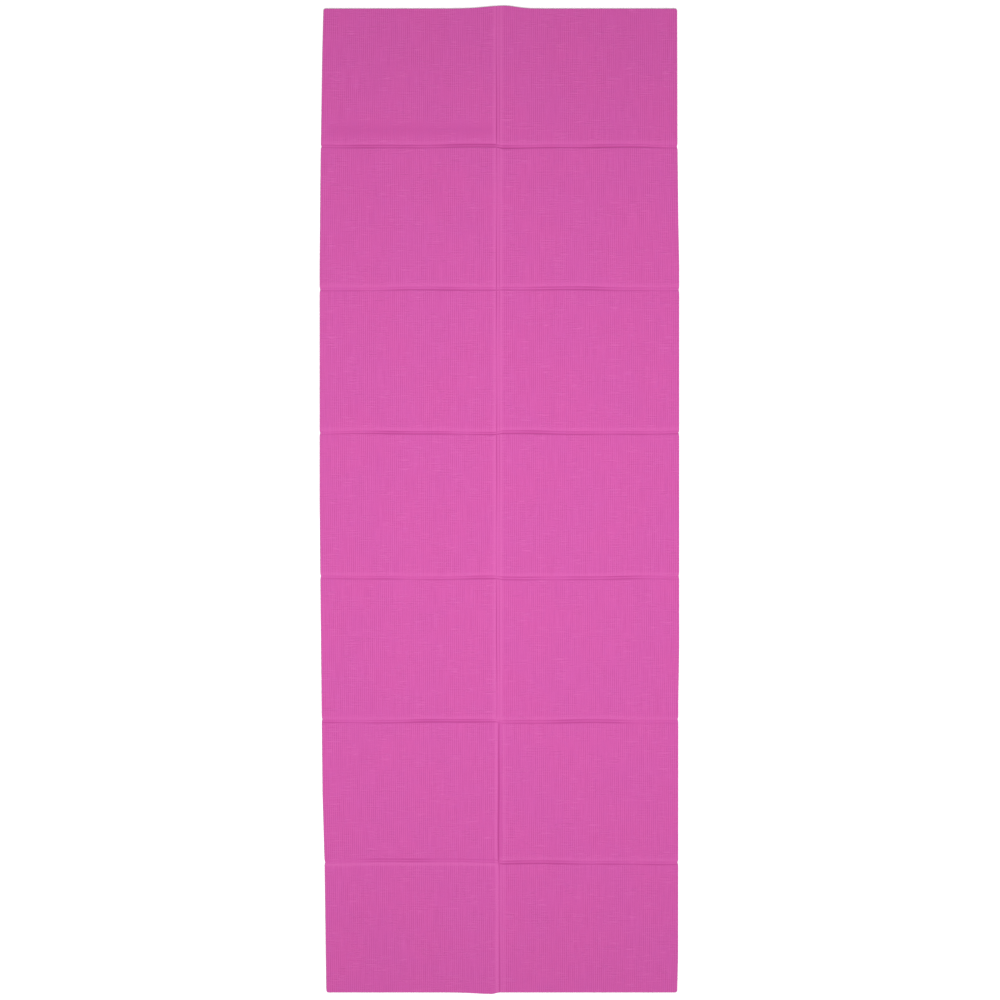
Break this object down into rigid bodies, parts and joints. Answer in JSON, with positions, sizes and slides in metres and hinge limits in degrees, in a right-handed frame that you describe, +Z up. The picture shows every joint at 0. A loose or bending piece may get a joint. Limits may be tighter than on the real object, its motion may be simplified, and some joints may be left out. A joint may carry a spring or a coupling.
{
  "type": "folding exercise mat",
  "caption": "Thin rectangular foam mat for floor exercise, creased into panels so that it folds in half lengthwise and then like a concertina into a small flat stack.",
  "frame": {"origin": "centre of the mat's underside when it lies open and flat", "axes": "+X to the right across the mat, +Y along its length towards row 1, +Z up out of its top face"},
  "size_m": [0.612, 1.68, 0.003],
  "materials": {
    "foam": "matte, pink PVC foam embossed with fine lengthwise ribs",
    "mesh": "woven off-white polyester mesh"
  },
  "bodies": {
    "right_panel_1": {"right_panel_1_top_foam": "foam", "right_panel_1_mesh": "mesh", "right_panel_1_base_foam": "foam"},
    "right_panel_2": {"right_panel_2_top_foam": "foam", "right_panel_2_mesh": "mesh", "right_panel_2_base_foam": "foam"},
    "right_panel_3": {"right_panel_3_top_foam": "foam", "right_panel_3_mesh": "mesh", "right_panel_3_base_foam": "foam"},
    "right_panel_4": {"right_panel_4_top_foam": "foam", "right_panel_4_mesh": "mesh", "right_panel_4_base_foam": "foam"},
    "right_panel_5": {"right_panel_5_top_foam": "foam", "right_panel_5_mesh": "mesh", "right_panel_5_base_foam": "foam"},
    "right_panel_6": {"right_panel_6_top_foam": "foam", "right_panel_6_mesh": "mesh", "right_panel_6_base_foam": "foam"},
    "right_panel_7": {"right_panel_7_top_foam": "foam", "right_panel_7_mesh": "mesh", "right_panel_7_base_foam": "foam"},
    "right_web_1": {"right_crease_web_1": "foam"},
    "right_web_3": {"right_crease_web_3": "foam"},
    "right_web_5": {"right_crease_web_5": "foam"},
    "left_panel_1": {"left_panel_1_top_foam": "foam", "left_panel_1_mesh": "mesh", "left_panel_1_base_foam": "foam"},
    "left_panel_2": {"left_panel_2_top_foam": "foam", "left_panel_2_mesh": "mesh", "left_panel_2_base_foam": "foam"},
    "left_panel_3": {"left_panel_3_top_foam": "foam", "left_panel_3_mesh": "mesh", "left_panel_3_base_foam": "foam"},
    "left_panel_4": {"left_panel_4_top_foam": "foam", "left_panel_4_mesh": "mesh", "left_panel_4_base_foam": "foam"},
    "left_panel_5": {"left_panel_5_top_foam": "foam", "left_panel_5_mesh": "mesh", "left_panel_5_base_foam": "foam"},
    "left_panel_6": {"left_panel_6_top_foam": "foam", "left_panel_6_mesh": "mesh", "left_panel_6_base_foam": "foam"},
    "left_panel_7": {"left_panel_7_top_foam": "foam", "left_panel_7_mesh": "mesh", "left_panel_7_base_foam": "foam"},
    "left_web_1": {"left_crease_web_1": "foam"},
    "left_web_3": {"left_crease_web_3": "foam"},
    "left_web_5": {"left_crease_web_5": "foam"}
  },
  "joints": [
    {"name": "cross_crease_1", "type": "hinge", "parent": "right_panel_1", "child": "right_panel_2", "pos_m": [0.153, 0.604, 0.0063], "axis": [-1, 0, 0], "range_deg": [0, 179.99]},
    {"name": "cross_crease_2", "type": "hinge", "parent": "right_panel_2", "child": "right_panel_3", "pos_m": [0.153, 0.3596, -0.0001], "axis": [1, 0, 0], "range_deg": [0, 179.99]},
    {"name": "cross_crease_3", "type": "hinge", "parent": "right_panel_3", "child": "right_panel_4", "pos_m": [0.153, 0.1152, 0.0063], "axis": [-1, 0, 0], "range_deg": [0, 179.99]},
    {"name": "cross_crease_4", "type": "hinge", "parent": "right_panel_4", "child": "right_panel_5", "pos_m": [0.153, -0.1292, -0.0001], "axis": [1, 0, 0], "range_deg": [0, 179.99]},
    {"name": "cross_crease_5", "type": "hinge", "parent": "right_panel_5", "child": "right_panel_6", "pos_m": [0.153, -0.3736, 0.0063], "axis": [-1, 0, 0], "range_deg": [0, 179.99]},
    {"name": "cross_crease_6", "type": "hinge", "parent": "right_panel_6", "child": "right_panel_7", "pos_m": [0.153, -0.618, -0.0001], "axis": [1, 0, 0], "range_deg": [0, 179.99]},
    {"name": "cross_crease_1_web", "type": "hinge", "parent": "right_panel_1", "child": "right_web_1", "pos_m": [0.153, 0.6078, 0.0025], "axis": [-1, 0, 0], "range_deg": [0, 90]},
    {"name": "cross_crease_3_web", "type": "hinge", "parent": "right_panel_3", "child": "right_web_3", "pos_m": [0.153, 0.119, 0.0025], "axis": [-1, 0, 0], "range_deg": [0, 90]},
    {"name": "cross_crease_5_web", "type": "hinge", "parent": "right_panel_5", "child": "right_web_5", "pos_m": [0.153, -0.3698, 0.0025], "axis": [-1, 0, 0], "range_deg": [0, 90]},
    {"name": "lengthwise_fold", "type": "hinge", "parent": "right_panel_1", "child": "left_panel_1", "pos_m": [0, 0.722, 0.0031], "axis": [0, 1, 0], "range_deg": [0, 179.99]},
    {"name": "lengthwise_crease_row_2", "type": "hinge", "parent": "right_panel_2", "child": "left_panel_2", "pos_m": [0, 0.4818, 0.0031], "axis": [0, 1, 0], "range_deg": [0, 179.99]},
    {"name": "lengthwise_crease_row_3", "type": "hinge", "parent": "right_panel_3", "child": "left_panel_3", "pos_m": [0, 0.2374, 0.0031], "axis": [0, 1, 0], "range_deg": [0, 179.99]},
    {"name": "lengthwise_crease_row_4", "type": "hinge", "parent": "right_panel_4", "child": "left_panel_4", "pos_m": [0, -0.007, 0.0031], "axis": [0, 1, 0], "range_deg": [0, 179.99]},
    {"name": "lengthwise_crease_row_5", "type": "hinge", "parent": "right_panel_5", "child": "left_panel_5", "pos_m": [0, -0.2514, 0.0031], "axis": [0, 1, 0], "range_deg": [0, 179.99]},
    {"name": "lengthwise_crease_row_6", "type": "hinge", "parent": "right_panel_6", "child": "left_panel_6", "pos_m": [0, -0.4958, 0.0031], "axis": [0, 1, 0], "range_deg": [0, 179.99]},
    {"name": "lengthwise_crease_row_7", "type": "hinge", "parent": "right_panel_7", "child": "left_panel_7", "pos_m": [0, -0.729, 0.0031], "axis": [0, 1, 0], "range_deg": [0, 179.99]},
    {"name": "lengthwise_crease_web_1", "type": "hinge", "parent": "right_web_1", "child": "left_web_1", "pos_m": [0, 0.604, 0.0031], "axis": [0, 1, 0], "range_deg": [0, 179.99]},
    {"name": "lengthwise_crease_web_3", "type": "hinge", "parent": "right_web_3", "child": "left_web_3", "pos_m": [0, 0.1152, 0.0031], "axis": [0, 1, 0], "range_deg": [0, 179.99]},
    {"name": "lengthwise_crease_web_5", "type": "hinge", "parent": "right_web_5", "child": "left_web_5", "pos_m": [0, -0.3736, 0.0031], "axis": [0, 1, 0], "range_deg": [0, 179.99]}
  ],
  "couplings": [
    {"joint": "cross_crease_1_web", "follows": "cross_crease_1", "ratio": 0.5},
    {"joint": "cross_crease_2", "follows": "cross_crease_1", "ratio": 1},
    {"joint": "cross_crease_3_web", "follows": "cross_crease_3", "ratio": 0.5},
    {"joint": "cross_crease_4", "follows": "cross_crease_3", "ratio": 1},
    {"joint": "cross_crease_5_web", "follows": "cross_crease_5", "ratio": 0.5},
    {"joint": "cross_crease_6", "follows": "cross_crease_5", "ratio": 1},
    {"joint": "lengthwise_crease_row_2", "follows": "lengthwise_fold", "ratio": 1},
    {"joint": "lengthwise_crease_row_3", "follows": "lengthwise_fold", "ratio": 1},
    {"joint": "lengthwise_crease_row_4", "follows": "lengthwise_fold", "ratio": 1},
    {"joint": "lengthwise_crease_row_5", "follows": "lengthwise_fold", "ratio": 1},
    {"joint": "lengthwise_crease_row_6", "follows": "lengthwise_fold", "ratio": 1},
    {"joint": "lengthwise_crease_row_7", "follows": "lengthwise_fold", "ratio": 1},
    {"joint": "lengthwise_crease_web_1", "follows": "lengthwise_fold", "ratio": 1},
    {"joint": "lengthwise_crease_web_3", "follows": "lengthwise_fold", "ratio": 1},
    {"joint": "lengthwise_crease_web_5", "follows": "lengthwise_fold", "ratio": 1}
  ]
}
